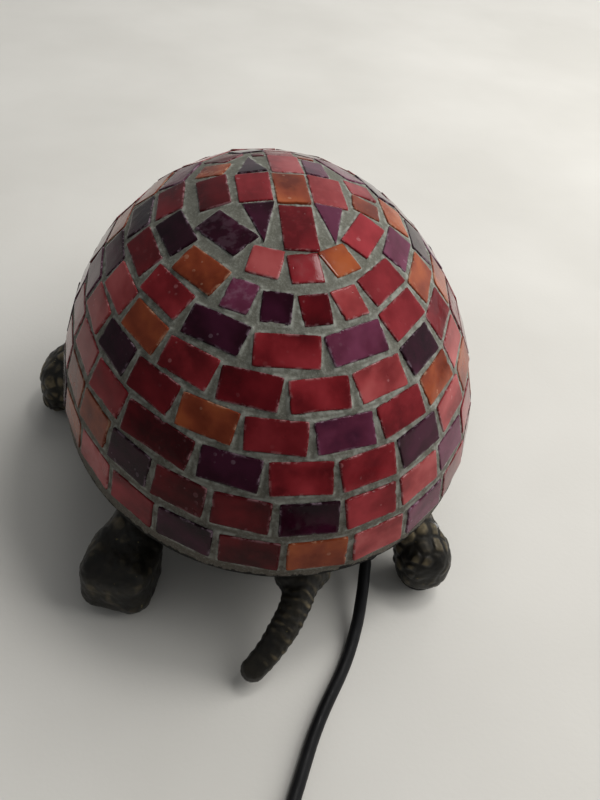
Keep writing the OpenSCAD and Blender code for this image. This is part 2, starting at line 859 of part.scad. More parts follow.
module plug_body() {
    color(black)
        translate([plug_x, plug_y, plug_high / 2])
            rotate([-90, 0, 0]) {
                cylinder(h = 12, d1 = 7, d2 = 9);
                hull() {
                    translate([0, 0, 10]) cylinder(h = 1, d = 9, $fn = hull_fn);
                    for (x = [-1, 1]) translate([x * 5, 0, 20]) cylinder(h = 1, d = 12, $fn = hull_fn);
                }
                hull()
                    for (x = [-1, 1])
                        translate([x * 11, 0, 20]) cylinder(h = 16, d = 13, $fn = hull_fn);
            }
}

module plug_pins() {
    color(steel)
        for (x = [-9.5, 9.5])
            translate([plug_x + x, plug_y + 36, plug_high / 2])
                rotate([-90, 0, 0]) {
                    cylinder(h = 17, d = 4);
                    translate([0, 0, 17]) cylinder(h = 2, d1 = 4, d2 = 2.4);
                }
}

base_tray();
head();
eyes();
tail();
leg_front_left();
leg_front_right();
leg_rear_left();
leg_rear_right();
foot_pads();
body_screws();
base_plate();
plate_screws();
bracket();
bracket_screws();
socket_nipple();
nipple_nut();
socket_cap();
socket_shell();
socket_ring();
socket_thread();
socket_contact();
terminal_screws();
wire_live();
wire_neutral();
cord_gland();
cord_clamp();
clamp_screws();
cord_inner();
bulb_glass();
bulb_cap();
bulb_insulator();
bulb_contact();
bulb_stem();
bulb_filament();
cord_lead();
switch_bottom();
switch_top();
switch_screws();
switch_rocker();
cord_link();
cord_coil();
cord_tie();
cord_end();
plug_body();
plug_pins();
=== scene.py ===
"""The looks of a turtle table lamp with a mosaic glass shell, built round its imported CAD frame."""

import math
import random

import bmesh
import bpy
import numpy as np
from mathutils import Matrix, Vector


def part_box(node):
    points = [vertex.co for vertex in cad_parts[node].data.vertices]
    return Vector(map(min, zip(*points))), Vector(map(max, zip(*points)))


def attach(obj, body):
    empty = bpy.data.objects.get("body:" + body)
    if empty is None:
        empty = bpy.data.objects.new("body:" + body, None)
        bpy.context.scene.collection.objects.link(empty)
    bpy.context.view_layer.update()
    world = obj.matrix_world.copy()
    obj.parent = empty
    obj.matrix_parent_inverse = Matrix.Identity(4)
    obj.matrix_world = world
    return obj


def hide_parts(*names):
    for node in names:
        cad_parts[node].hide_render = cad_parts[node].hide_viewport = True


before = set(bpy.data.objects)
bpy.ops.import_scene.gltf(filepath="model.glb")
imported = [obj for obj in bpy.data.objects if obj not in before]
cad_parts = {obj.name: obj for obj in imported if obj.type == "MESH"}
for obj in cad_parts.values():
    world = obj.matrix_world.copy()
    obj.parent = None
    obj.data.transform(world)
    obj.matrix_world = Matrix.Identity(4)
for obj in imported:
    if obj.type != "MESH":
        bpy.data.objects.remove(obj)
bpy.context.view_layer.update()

MM = 0.001
scene = bpy.context.scene

# ---------------------------------------------------------------- sizes, from the frame

dome_low, dome_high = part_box("shade_dome")
RIM = dome_low.z
SHELL_Y = (dome_low.y + dome_high.y) / 2
TILE_THICK = 3 * MM
TILE_BED = 0.3 * MM
TILE_LIFT = TILE_THICK + TILE_BED
# Half widths and height of the surface that the tiles' faces touch
SHELL = np.array([
    dome_high.x + TILE_LIFT,
    (dome_high.y - dome_low.y) / 2 / dome_high.x * (dome_high.x + TILE_LIFT),
    dome_high.z - RIM + TILE_LIFT,
])
SHELL_MID = np.array([0, SHELL_Y, RIM])
OVAL = SHELL[1] / SHELL[0]

# ---------------------------------------------------------------- camera

CAMERA_AT = Vector((-0.03563, -0.25343, 0.24339))
CAMERA_RIGHT = Vector((0.98755, -0.13209, 0.08542))
CAMERA_UP = Vector((0.02680, 0.67636, 0.73608))


def make_camera():
    camera = bpy.data.objects.new("camera", bpy.data.cameras.new("camera"))
    right = CAMERA_RIGHT.normalized()
    back = right.cross(CAMERA_UP).normalized()
    up = back.cross(right)
    turn = Matrix((right, up, back)).transposed().to_4x4()
    camera.matrix_world = Matrix.Translation(CAMERA_AT) @ turn
    camera.data.lens = 33.84
    camera.data.sensor_width = 36
    camera.data.clip_start = 0.01
    scene.collection.objects.link(camera)
    scene.camera = camera


make_camera()

# ---------------------------------------------------------------- lead, from part.scad's routes

CORD = 4.4 * MM
# From the bushing to the switch, from the switch to the coil, and from the coil to the plug
LEAD = [
    (31, -90, 11.5), (31, -91.5, 11.5), (30.6, -94, 11), (29.8, -97, 10), (28.5, -102, 8.5), (27, -107, 6.8),
    (25, -113, 4.5), (22, -120, 2.8), (18.5, -127, 2.2), (14.3, -134, 2.2), (10, -140.5, 2.2),
    (6, -147, 2.2), (2.6, -153.2, 2.2), (-0.3, -159.2, 2.2), (-3, -165, 2.2), (-5.6, -170.5, 2.2),
    (-8.4, -177, 2.2), (-11, -184, 2.8), (-13, -191.5, 4), (-13.8, -199, 6.4), (-14, -204, 7.6),
    (-14, -208, 8),
]
LINK = [
    (-14, -268, 8), (-14.1, -273, 7.3), (-14.8, -280, 5.2), (-16, -287, 3.2), (-17.5, -294, 2.2),
    (-18.8, -302, 2.2), (-19.35, -312, 2.2),
]
END = [
    (41.4, -314, 15.7), (41.4, -308, 15.6), (41.4, -301, 14), (41.4, -294, 11), (41.4, -288, 8),
    (41.4, -284, 7), (41.4, -282, 7),
]
COIL_MID = (11, -322)
COIL_OUTER = 30.35
COIL_INNER = 19.65
COIL_FIRST = 2.2
COIL_LAYER = 4.6
COIL_LAYERS = 4
COIL_TURNS = 9.5
COIL_STEPS = 24
# The last part of a layer, over which the lead climbs to the next
COIL_CLIMB = 0.12


def coil_route():
    """The turns of the coil: its layers are wound inwards and outwards in turn."""
    points = []
    steps = int(COIL_TURNS * COIL_STEPS)
    top = COIL_LAYERS - 1
    for k in range(1, steps):
        along = k / steps * COIL_LAYERS
        layer = min(int(along), top)
        part = along - layer
        reach = COIL_OUTER + (COIL_INNER - COIL_OUTER) * (part if layer % 2 == 0 else 1 - part)
        rise = np.clip((part - 1 + COIL_CLIMB) / COIL_CLIMB, 0, 1) if layer < top else 0
        angle = math.pi + 2 * math.pi * COIL_TURNS * k / steps
        points.append((
            COIL_MID[0] + reach * math.cos(angle),
            COIL_MID[1] + reach * math.sin(angle),
            COIL_FIRST + COIL_LAYER * (layer + rise * rise * (3 - 2 * rise)),
        ))
    return points


def curve_piece(name, points, width):
    """A round piece along points in millimetres, as one smooth open curve."""
    curve = bpy.data.curves.new(name, "CURVE")
    curve.dimensions = "3D"
    curve.bevel_depth = width / 2
    curve.bevel_resolution = 5
    curve.use_fill_caps = True
    spline = curve.splines.new("BEZIER")
    spline.bezier_points.add(len(points) - 1)
    for point, at in zip(spline.bezier_points, points):
        point.co = Vector(at) * MM
        point.handle_left_type = point.handle_right_type = "AUTO"
    curve.resolution_u = 6
    piece = bpy.data.objects.new(name, curve)
    scene.collection.objects.link(piece)
    return piece


cord = curve_piece("lead", LEAD + LINK + coil_route() + END, CORD)

# ---------------------------------------------------------------- materials


class Paint:
    """A node material: one Principled shader, and short calls for the nodes that feed it."""

    def __init__(self, name, **values):
        self.material = bpy.data.materials.new(name)
        self.material.use_nodes = True
        self.tree = self.material.node_tree
        self.shader = self.tree.nodes["Principled BSDF"]
        for key, value in values.items():
            self.shader.inputs[key.replace("_", " ")].default_value = value
        self.place = self.node("ShaderNodeTexCoord").outputs["Object"]

    def node(self, kind, inputs=(), **settings):
        made = self.tree.nodes.new(kind)
        for key, value in settings.items():
            setattr(made, key, value)
        for key, value in dict(inputs).items():
            if isinstance(value, bpy.types.NodeSocket):
                self.tree.links.new(value, made.inputs[key])
            else:
                made.inputs[key].default_value = value
        return made

    def noise(self, size, detail=3, rough=0.55, place=None, stretch=None):
        """Cloudy noise whose blobs are about size millimetres across."""
        place = place or self.place
        if stretch:
            place = self.node("ShaderNodeMapping", {"Vector": place, "Scale": stretch}).outputs[0]
        inputs = {"Vector": place, "Scale": 1 / (size * MM), "Detail": detail, "Roughness": rough}
        return self.node("ShaderNodeTexNoise", inputs).outputs["Fac"]

    def cells(self, size, place=None):
        """Cells about size millimetres across."""
        inputs = {"Vector": place or self.place, "Scale": 1 / (size * MM)}
        return self.node("ShaderNodeTexVoronoi", inputs)

    def value(self, name):
        """A number that the piece's mesh carries at each point."""
        return self.node("ShaderNodeAttribute", attribute_name=name).outputs["Fac"]

    def ramp(self, factor, *stops):
        """Colours or greys at places along a factor, from 0 to 1."""
        made = self.node("ShaderNodeValToRGB", {"Fac": factor})
        ramp = made.color_ramp
        while len(ramp.elements) < len(stops):
            ramp.elements.new(0.5)
        for element, (at, colour) in zip(ramp.elements, stops):
            element.position = at
            element.color = (*colour, 1) if isinstance(colour, tuple) else (colour, colour, colour, 1)
        return made.outputs["Color"]

    def mix(self, factor, a, b):
        made = self.node("ShaderNodeMix", data_type="RGBA")
        for socket, value in zip((made.inputs[0], made.inputs[6], made.inputs[7]), (factor, a, b)):
            if isinstance(value, bpy.types.NodeSocket):
                self.tree.links.new(value, socket)
            elif isinstance(value, tuple):
                socket.default_value = (*value, 1)
            else:
                socket.default_value = value
        return made.outputs[2]

    def maths(self, how, a, b, clamp=False):
        made = self.node("ShaderNodeMath", {0: a, 1: b}, operation=how, use_clamp=clamp)
        return made.outputs[0]

    def set(self, key, socket):
        self.tree.links.new(socket, self.shader.inputs[key])

    def bump(self, height, strength, depth):
        """Raises the surface by up to depth millimetres where height is 1."""
        inputs = {"Height": height, "Strength": strength, "Distance": depth * MM}
        previous = self.shader.inputs["Normal"]
        if previous.is_linked:
            inputs["Normal"] = previous.links[0].from_socket
        self.set("Normal", self.node("ShaderNodeBump", inputs).outputs[0])


def glass_paint(name, dark, middle, light, pale):
    """Stained glass: deep streaked colour, bubbles and dull film on some tiles, fine pale edges, and a
    painted shade along each tile's edge.
    """
    paint = Paint(name, IOR=1.5, Specular_IOR_Level=0.13)
    tone = paint.value("tone")
    shift = paint.node("ShaderNodeCombineXYZ", {0: tone, 1: paint.maths("MULTIPLY", tone, 3.7)}).outputs[0]
    place = paint.node("ShaderNodeVectorMath", {0: paint.place, 1: shift}, operation="ADD").outputs[0]
    streaks = paint.noise(15, 3, 0.5, place, (1, 0.5, 1.3))
    body = paint.ramp(streaks, (0.34, dark), (0.48, middle), (0.66, light))
    body = paint.mix(paint.ramp(tone, (0, 0.5), (0.6, 0.0)), body, dark)
    body = paint.mix(paint.ramp(paint.noise(4, 3, 0.6, place), (0.5, 0.0), (0.8, 0.3)), body, light)
    cells = paint.cells(2.5, place=place)
    own = paint.node("ShaderNodeSeparateColor", {0: cells.outputs["Color"]}).outputs[0]
    wide = paint.maths("MULTIPLY", paint.maths("POWER", own, 2.2), 0.42)
    spot = paint.maths("SUBTRACT", wide, cells.outputs["Distance"])
    some = paint.ramp(paint.value("speck"), (0.5, 0.15), (0.8, 1.0))
    patch = paint.ramp(paint.noise(7, 2, 0.5, place), (0.5, 0.0), (0.58, 1.0))
    spots = paint.maths("MULTIPLY", paint.ramp(spot, (0.0, 0.0), (0.07, 1.0)), patch)
    film = paint.ramp(paint.noise(5.5, 3, 0.62, place), (0.48, 0.0), (0.58, 1.0))
    film = paint.maths("MULTIPLY", film, paint.ramp(paint.value("speck"), (0.92, 0.0), (0.95, 0.6)))
    marks = paint.maths("ADD", paint.maths("MULTIPLY", spots, some), film, clamp=True)
    body = paint.mix(paint.maths("MULTIPLY", marks, 0.2), body, pale)
    edge = paint.value("edge")
    # Painted shade: each tile is darkened along its edge, where it meets the grout
    body = paint.mix(paint.maths("MULTIPLY", edge, 0.55), body, dark)
    edge_mark = paint.maths("MULTIPLY", edge, paint.ramp(paint.noise(3.4, 3, 0.7), (0.5, 0.0), (0.6, 1.0)))
    body = paint.mix(paint.maths("MULTIPLY", edge_mark, 0.42), body, pale)
    paint.set("Base Color", body)
    smear = paint.ramp(paint.noise(7, 5, 0.65, place), (0.38, 0.05), (0.72, 0.22))
    paint.set("Roughness", paint.mix(marks, smear, (0.42, 0.42, 0.42)))
    paint.bump(paint.noise(12, 2, 0.5, place), 0.35, 0.5)
    paint.bump(marks, 0.5, 0.06)
    paint.bump(paint.noise(1.0, 3, 0.6, place), 0.14, 0.05)
    dimples = paint.ramp(paint.cells(3.1, place=place).outputs["Distance"], (0.0, 0.0), (0.16, 1.0))
    paint.bump(paint.mix(patch, (1.0, 1.0, 1.0), dimples), 0.8, 0.12)
    return paint.material


def grout_paint():
    """Sandy cement, greyer and greener above, darker and browner towards the rim, with a black ragged band
    of painted shade at its lower edge.
    """
    paint = Paint("grout", Roughness=0.92, Specular_IOR_Level=0.25)
    height = paint.node("ShaderNodeSeparateXYZ", {0: paint.place}).outputs["Z"]
    # Darker and browner towards the rim, over the lowest 60 mm
    low = paint.node("ShaderNodeMapRange", {0: height, 1: RIM, 2: RIM + 60 * MM, 3: 0.0, 4: 1.0}).outputs[0]
    body = paint.mix(low, (0.092, 0.078, 0.064), (0.138, 0.138, 0.115))
    stain = paint.ramp(paint.noise(9, 4, 0.65), (0.34, 0.5), (0.6, 0.0))
    body = paint.mix(stain, body, (0.085, 0.082, 0.062))
    sand = paint.noise(0.8, 3, 0.7)
    body = paint.mix(paint.ramp(sand, (0.5, 0.0), (0.75, 0.5)), body, (0.30, 0.31, 0.27))
    body = paint.mix(paint.ramp(sand, (0.25, 0.4), (0.42, 0.0)), body, (0.07, 0.072, 0.058))
    grains = paint.cells(1.3).outputs["Distance"]
    body = paint.mix(paint.ramp(grains, (0.0, 0.25), (0.2, 0.0)), body, (0.36, 0.36, 0.32))
    scraped = paint.ramp(paint.noise(3, 3), (0.42, 0.0), (0.58, 0.75))
    beside = paint.maths("MULTIPLY", paint.value("beside"), scraped)
    body = paint.mix(beside, body, (0.36, 0.37, 0.33))
    # Painted shade: a black ragged band along the grout's lower edge, where the gap under the shell's rim
    # lies in shadow
    ragged = paint.maths("MULTIPLY", paint.ramp(paint.noise(4, 4, 0.7), (0.42, 0.0), (0.62, 1.0)), 1.5 * MM)
    rim = paint.maths("LESS_THAN", paint.maths("SUBTRACT", height, ragged), RIM + 0.35 * MM)
    body = paint.mix(rim, body, (0.012, 0.011, 0.01))
    paint.set("Base Color", body)
    paint.bump(paint.noise(3.2, 3, 0.6), 0.4, 0.3)
    paint.bump(sand, 0.6, 0.16)
    paint.bump(grains, 0.35, 0.12)
    return paint.material


def bronze_paint():
    """Dark antique bronze, rubbed back to olive brass where the casting is raised; on the tail and the rear
    right leg the olive is also a painted highlight where light falls.
    """
    paint = Paint("bronze", Metallic=0.35, Specular_IOR_Level=0.4)
    # How raised the casting is at each point, with painted light mixed in on the tail and the rear right leg
    proud = paint.value("proud")
    cloud = paint.noise(6, 4, 0.65)
    body = paint.ramp(cloud, (0.35, (0.0085, 0.0078, 0.0065)), (0.68, (0.026, 0.022, 0.015)))
    uneven = paint.ramp(paint.noise(7, 3), (0.36, 0.1), (0.56, 1.0))
    rubbed = paint.maths("MULTIPLY", paint.ramp(proud, (0.4, 0.0), (0.75, 1.0)), uneven)
    body = paint.mix(rubbed, body, (0.17, 0.135, 0.078))
    spots = paint.ramp(paint.noise(3.2, 2, 0.5), (0.71, 0.0), (0.75, 1.0))
    body = paint.mix(paint.maths("MULTIPLY", spots, 0.6), body, (0.24, 0.20, 0.085))
    # Near black where the value is low: patina in the creases, and on the tail's side turned from the light
    # also a painted shade
    body = paint.mix(paint.ramp(proud, (0.0, 0.8), (0.35, 0.0)), body, (0.005, 0.0045, 0.004))
    paint.set("Base Color", body)
    paint.set("Roughness", paint.ramp(paint.noise(3, 4), (0.3, 0.34), (0.7, 0.58)))
    paint.bump(paint.noise(1.6, 4, 0.65), 0.4, 0.25)
    paint.bump(paint.noise(0.5, 2), 0.3, 0.08)
    return paint.material


def plastic_paint(name, colour, rough, grain=0.05, gloss=0.5):
    """Plastic, rubber or lacquer with a fine grain."""
    paint = Paint(name, Specular_IOR_Level=gloss)
    lighter = tuple(min(1.0, 1.5 * c + 0.004) for c in colour)
    paint.set("Base Color", paint.ramp(paint.noise(12, 4), (0.35, colour), (0.75, lighter)))
    paint.set("Roughness", paint.ramp(paint.noise(5, 4), (0.3, rough - 0.07), (0.75, rough + 0.13)))
    paint.bump(paint.noise(0.6, 2), 0.5, grain)
    return paint.material


def metal_paint(name, colour, rough=0.32):
    """Brushed metal, a little tarnished."""
    paint = Paint(name, Metallic=1.0)
    tarnish = tuple(0.58 * c for c in colour)
    paint.set("Base Color", paint.ramp(paint.noise(4, 5, 0.65), (0.32, tarnish), (0.6, colour)))
    paint.set("Roughness", paint.ramp(paint.noise(2.5, 4), (0.3, rough - 0.1), (0.75, rough + 0.15)))
    paint.bump(paint.noise(0.5, 2, 0.5, stretch=(0.06, 1, 1)), 0.3, 0.04)
    return paint.material


def clear_paint(name, colour, rough, through):
    """Opal or clear glass."""
    paint = Paint(name, IOR=1.5, Transmission_Weight=through)
    dusty = tuple(0.9 * c for c in colour)
    paint.set("Base Color", paint.ramp(paint.noise(30, 2), (0.3, dusty), (0.7, colour)))
    paint.set("Roughness", paint.ramp(paint.noise(18, 2), (0.3, rough), (0.75, rough + 0.06)))
    return paint.material


def floor_paint():
    paint = Paint("floor", Roughness=0.85)
    cloud = paint.noise(160, 4, 0.5)
    paint.set("Base Color", paint.ramp(cloud, (0.35, (0.60, 0.585, 0.545)), (0.7, (0.67, 0.655, 0.615))))
    paint.bump(paint.noise(2.2, 3), 0.25, 0.2)
    return paint.material


# Each colour's dark, middle and light streaks, and the pale film and worn edges on it
GLASS = {
    "red": ((0.085, 0.0045, 0.007), (0.165, 0.0105, 0.0145), (0.27, 0.024, 0.031), (0.55, 0.30, 0.30)),
    "ruby": ((0.036, 0.0016, 0.0028), (0.080, 0.0026, 0.0052), (0.145, 0.007, 0.011), (0.45, 0.24, 0.26)),
    "plum": ((0.009, 0.0012, 0.004), (0.021, 0.0022, 0.008), (0.045, 0.006, 0.020), (0.36, 0.26, 0.32)),
    "violet": ((0.040, 0.007, 0.020), (0.085, 0.014, 0.034), (0.14, 0.030, 0.066), (0.44, 0.30, 0.38)),
    "amber": ((0.11, 0.018, 0.007), (0.20, 0.038, 0.015), (0.32, 0.078, 0.024), (0.58, 0.38, 0.25)),
    "rose": ((0.15, 0.016, 0.018), (0.25, 0.034, 0.036), (0.36, 0.075, 0.075), (0.60, 0.36, 0.36)),
}
PAINTS = {f"glass_{key}": glass_paint(f"glass_{key}", *colours) for key, colours in GLASS.items()}
PAINTS.update({
    "grout": grout_paint(),
    "bronze": bronze_paint(),
    "plate": plastic_paint("plate", (0.02, 0.018, 0.016), 0.55),
    "pad": plastic_paint("pad", (0.018, 0.018, 0.018), 0.75),
    "steel": metal_paint("steel", (0.55, 0.56, 0.57)),
    "brass": metal_paint("brass", (0.62, 0.44, 0.17), 0.28),
    "bakelite": plastic_paint("bakelite", (0.014, 0.013, 0.012), 0.32),
    "wire_brown": plastic_paint("wire_brown", (0.10, 0.035, 0.012), 0.35),
    "wire_blue": plastic_paint("wire_blue", (0.01, 0.06, 0.30), 0.35),
    "cord": plastic_paint("cord", (0.004, 0.004, 0.0045), 0.45, 0.03, 0.22),
    "switch": plastic_paint("switch", (0.010, 0.010, 0.0105), 0.34),
    "eye": plastic_paint("eye", (0.012, 0.008, 0.005), 0.15, 0.01),
    "glass_dome": clear_paint("glass_dome", (0.80, 0.79, 0.74), 0.45, 0.5),
    "bulb_glass": clear_paint("bulb_glass", (0.9, 0.89, 0.86), 0.16, 0.08),
    "bulb_clear": clear_paint("bulb_clear", (0.9, 0.93, 0.92), 0.05, 0.9),
    "tungsten": metal_paint("tungsten", (0.22, 0.22, 0.23), 0.4),
})


def finish_piece(piece, body, slot, *nodes):
    """Gives a piece the material of its slot and its body, and hides the CAD nodes that it stands for."""
    piece.data.materials.clear()
    piece.data.materials.append(PAINTS[slot])
    if piece.type == "MESH":
        piece.data.polygons.foreach_set("use_smooth", [True] * len(piece.data.polygons))
    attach(piece, body)
    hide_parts(*nodes)
    return piece


def mesh_piece(name, points, faces, **values):
    """A mesh object from points in metres and faces, with numbers at each point for its material."""
    mesh = bpy.data.meshes.new(name)
    mesh.from_pydata([tuple(p) for p in points], [], [tuple(int(i) for i in f) for f in faces])
    for key, numbers in values.items():
        mesh.attributes.new(key, "FLOAT", "POINT").data.foreach_set("value", np.asarray(numbers, np.float32))
    mesh.update()
    piece = bpy.data.objects.new(name, mesh)
    scene.collection.objects.link(piece)
    return piece


# ---------------------------------------------------------------- repeatable noise for shapes


def hashed(cells, salt=0.0):
    """A number from 0 to 1 for each whole-number cell, always the same."""
    mixed = cells @ np.array([127.1, 311.7, 74.7]) + salt
    return np.modf(np.abs(np.sin(mixed) * 43758.5453))[0]


def rough(points, size, salt=0.0):
    """Smooth noise from -1 to 1 with features about size across."""
    p = np.asarray(points) / size
    cell = np.floor(p)
    f = p - cell
    f = f * f * (3 - 2 * f)
    total = np.zeros(len(p))
    for corner in np.ndindex(2, 2, 2):
        corner = np.array(corner)
        weight = np.prod(np.where(corner == 1, f, 1 - f), axis=1)
        total += weight * hashed(cell + corner, salt)
    return 2 * total - 1


def scales(points, size, salt=0.0):
    """How far into a scale each point lies, from 0 at a crease between scales to 1 in the middle."""
    p = np.asarray(points) / size
    cell = np.floor(p)
    near = np.full((len(p), 2), 9.0)
    for step in np.ndindex(3, 3, 3):
        other = cell + np.array(step) - 1
        middle = other + 0.15 + 0.7 * np.stack([hashed(other, salt + k) for k in (1.3, 4.9, 8.1)], 1)
        reach = np.linalg.norm(p - middle, axis=1)
        near[:, 1] = np.minimum(near[:, 1], np.maximum(near[:, 0], reach))
        near[:, 0] = np.minimum(near[:, 0], reach)
    return np.clip((near[:, 1] - near[:, 0]) / 0.45, 0, 1)


# ---------------------------------------------------------------- mosaic


def corners_of(node):
    """The separate solids of a CAD node, each as an array of its corner points."""
    form = bmesh.new()
    form.from_mesh(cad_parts[node].data)
    bmesh.ops.remove_doubles(form, verts=form.verts, dist=0.01 * MM)
    form.verts.ensure_lookup_table()
    left, solids = set(range(len(form.verts))), []
    while left:
        seeds, found = [min(left)], set()
        while seeds:
            k = seeds.pop()
            if k in found:
                continue
            found.add(k)
            seeds += [e.other_vert(form.verts[k]).index for e in form.verts[k].link_edges]
        left -= found
        solids.append(np.array([form.verts[k].co for k in sorted(found)]))
    form.free()
    return solids


def outward(p):
    """The way out of the shell at a point."""
    n = (np.asarray(p) - SHELL_MID) / SHELL ** 2
    return n / np.linalg.norm(n)


class Tile:
    """One tile's face: its middle, its axes along, up and out, and its corners in order."""

    def __init__(self, solid):
        middle = solid.mean(0)
        out = outward(middle)
        top = solid[(solid - middle) @ out > 0]
        self.mid = top.mean(0)
        rest = top - self.mid
        n = np.cross(rest[0], rest[1])
        n = n if np.linalg.norm(n) > 1e-9 else np.cross(rest[0], rest[2])
        self.out = n / np.linalg.norm(n) * np.sign(n @ out)
        edges = [(q - p) for p in top for q in top if np.linalg.norm(q - p) > 1e-6]
        along = min(edges, key=lambda v: abs(v[2]) / np.linalg.norm(v))
        along = along - self.out * (along @ self.out)
        self.along = along / np.linalg.norm(along)
        self.up = np.cross(self.out, self.along)
        flat = np.stack([rest @ self.along, rest @ self.up], 1)
        self.corners = flat[np.argsort(np.arctan2(flat[:, 1], flat[:, 0]))]

    def inside(self, points):
        """How far each point lies inside the tile's outline, or outside if negative, and over its face."""
        rel = points - self.mid
        x, y, z = rel @ self.along, rel @ self.up, rel @ self.out
        reach = np.full(len(points), 1.0)
        for p, q in zip(self.corners, np.roll(self.corners, -1, 0)):
            way = (q - p) / np.linalg.norm(q - p)
            reach = np.minimum(reach, (y - p[1]) * way[0] - (x - p[0]) * way[1])
        return reach, z


# Above this height the tiles are placed one by one, with more grout between them. So that the grout looks
# as narrow as it should, each tile grows by this many millimetres on a side, there and elsewhere
CROWN_FROM = 113 * MM
CROWN_GROW, GROW = 0.3, 0.1


def cut_outline(tile, rng):
    """The tile's outline as cut by hand: corners a little off, edges not quite straight, small chips."""
    grow = CROWN_GROW if tile.mid[2] > CROWN_FROM else GROW
    corners = [
        c + (np.array([rng.uniform(-0.22, 0.22), rng.uniform(-0.22, 0.22)]) + grow * np.sign(c)) * MM
        for c in tile.corners
    ]
    outline = []
    for p, q in zip(corners, corners[1:] + corners[:1]):
        way = q - p
        far = np.linalg.norm(way)
        way = way / far
        inward = np.array([-way[1], way[0]])
        steps = max(4, round(far / (1.3 * MM)))
        bow = rng.uniform(-0.12, 0.1)
        chip_at, chip = (rng.uniform(0.08, 0.92), rng.uniform(0.25, 0.6)) if rng.random() < 0.3 else (9, 0)
        for k in range(steps):
            u = k / steps
            nibble = rng.uniform(0, 0.07) + bow * math.sin(math.pi * u)
            nibble += chip * max(0, 1 - abs(u - chip_at) * far / (1.1 * MM))
            corner = 0.16 if k == 0 else 0
            outline.append(p + way * (far * u) + inward * (nibble * MM) + (way + inward) * corner * MM)
    return np.array(outline)


def build_tiles(node, tiles, seed):
    """All the tiles of one colour, as slabs of glass with ground edges."""
    rng = random.Random(seed)
    points, faces, tone, speck, edge = [], [], [], [], []
    for tile in tiles:
        outline = cut_outline(tile, rng)
        n = len(outline)
        centre = outline.mean(0)
        tilt = np.array([rng.gauss(0, 0.011), rng.gauss(0, 0.016)])
        lift = rng.uniform(-0.12, 0.1) * MM
        own_tone, own_speck = rng.random(), rng.random()
        # Rings from the back of the slab to the middle of its face: how far in, how high, and how much edge
        # mark, which is painted shade along the tile's edge and pale wear on it
        rings = [
            (0.25, -2.9, 0), (0, -1.2, 0.4), (0, -0.3, 1), (0.12, -0.08, 1), (0.34, 0, 0.4), (0.8, 0.02, 0),
        ]
        start = len(points)
        for inset, high, edge_mark in rings:
            for p in outline:
                away = p - centre
                q = p - away * min(0.6, inset * MM / np.linalg.norm(away) * 1.25)
                ripple = rng.uniform(-0.05, 0.05) if edge_mark == 1 else 0
                z = (high + ripple) * MM + lift + (tilt @ (q - centre) if high > -2 else 0)
                points.append(tile.mid + tile.along * q[0] + tile.up * q[1] + tile.out * z)
                tone.append(own_tone)
                speck.append(own_speck)
                edge.append(edge_mark)
        for r in range(len(rings) - 1):
            for k in range(n):
                a, b = start + r * n + k, start + r * n + (k + 1) % n
                faces.append((a, b, b + n, a + n))
        faces.append(tuple(start + k for k in reversed(range(n))))
        faces.append(tuple(start + (len(rings) - 1) * n + k for k in range(n)))
    piece = mesh_piece(node.replace("tiles", "glass"), points, faces, tone=tone, speck=speck, edge=edge)
    finish_piece(piece, "shade", node.replace("tiles", "glass"), node)


TILES = {f"tiles_{key}": [Tile(s) for s in corners_of(f"tiles_{key}")] for key in GLASS}
for seed, (node, tiles) in enumerate(TILES.items()):
    build_tiles(node, tiles, seed + 11)

# Points round the grout, rings up its outside and its inside, and how deep it lies under the tiles' faces
GROUT_ROUND = 600
GROUT_UP = 176
GROUT_UP_INSIDE = 60
GROUT_DIP = 0.38 * MM


def egg_grid(half, up):
    """Points of the upper half of an egg, ring by ring from the rim, and its crown point."""
    rise = np.linspace(0, math.pi / 2, up, endpoint=False)
    turn = np.linspace(0, 2 * math.pi, GROUT_ROUND, endpoint=False)
    rise, turn = np.meshgrid(rise, turn, indexing="ij")
    unit = np.stack([np.cos(rise) * np.sin(turn), -np.cos(rise) * np.cos(turn), np.sin(rise)], -1)
    return np.vstack([unit.reshape(-1, 3), [0, 0, 1]]) * half + SHELL_MID


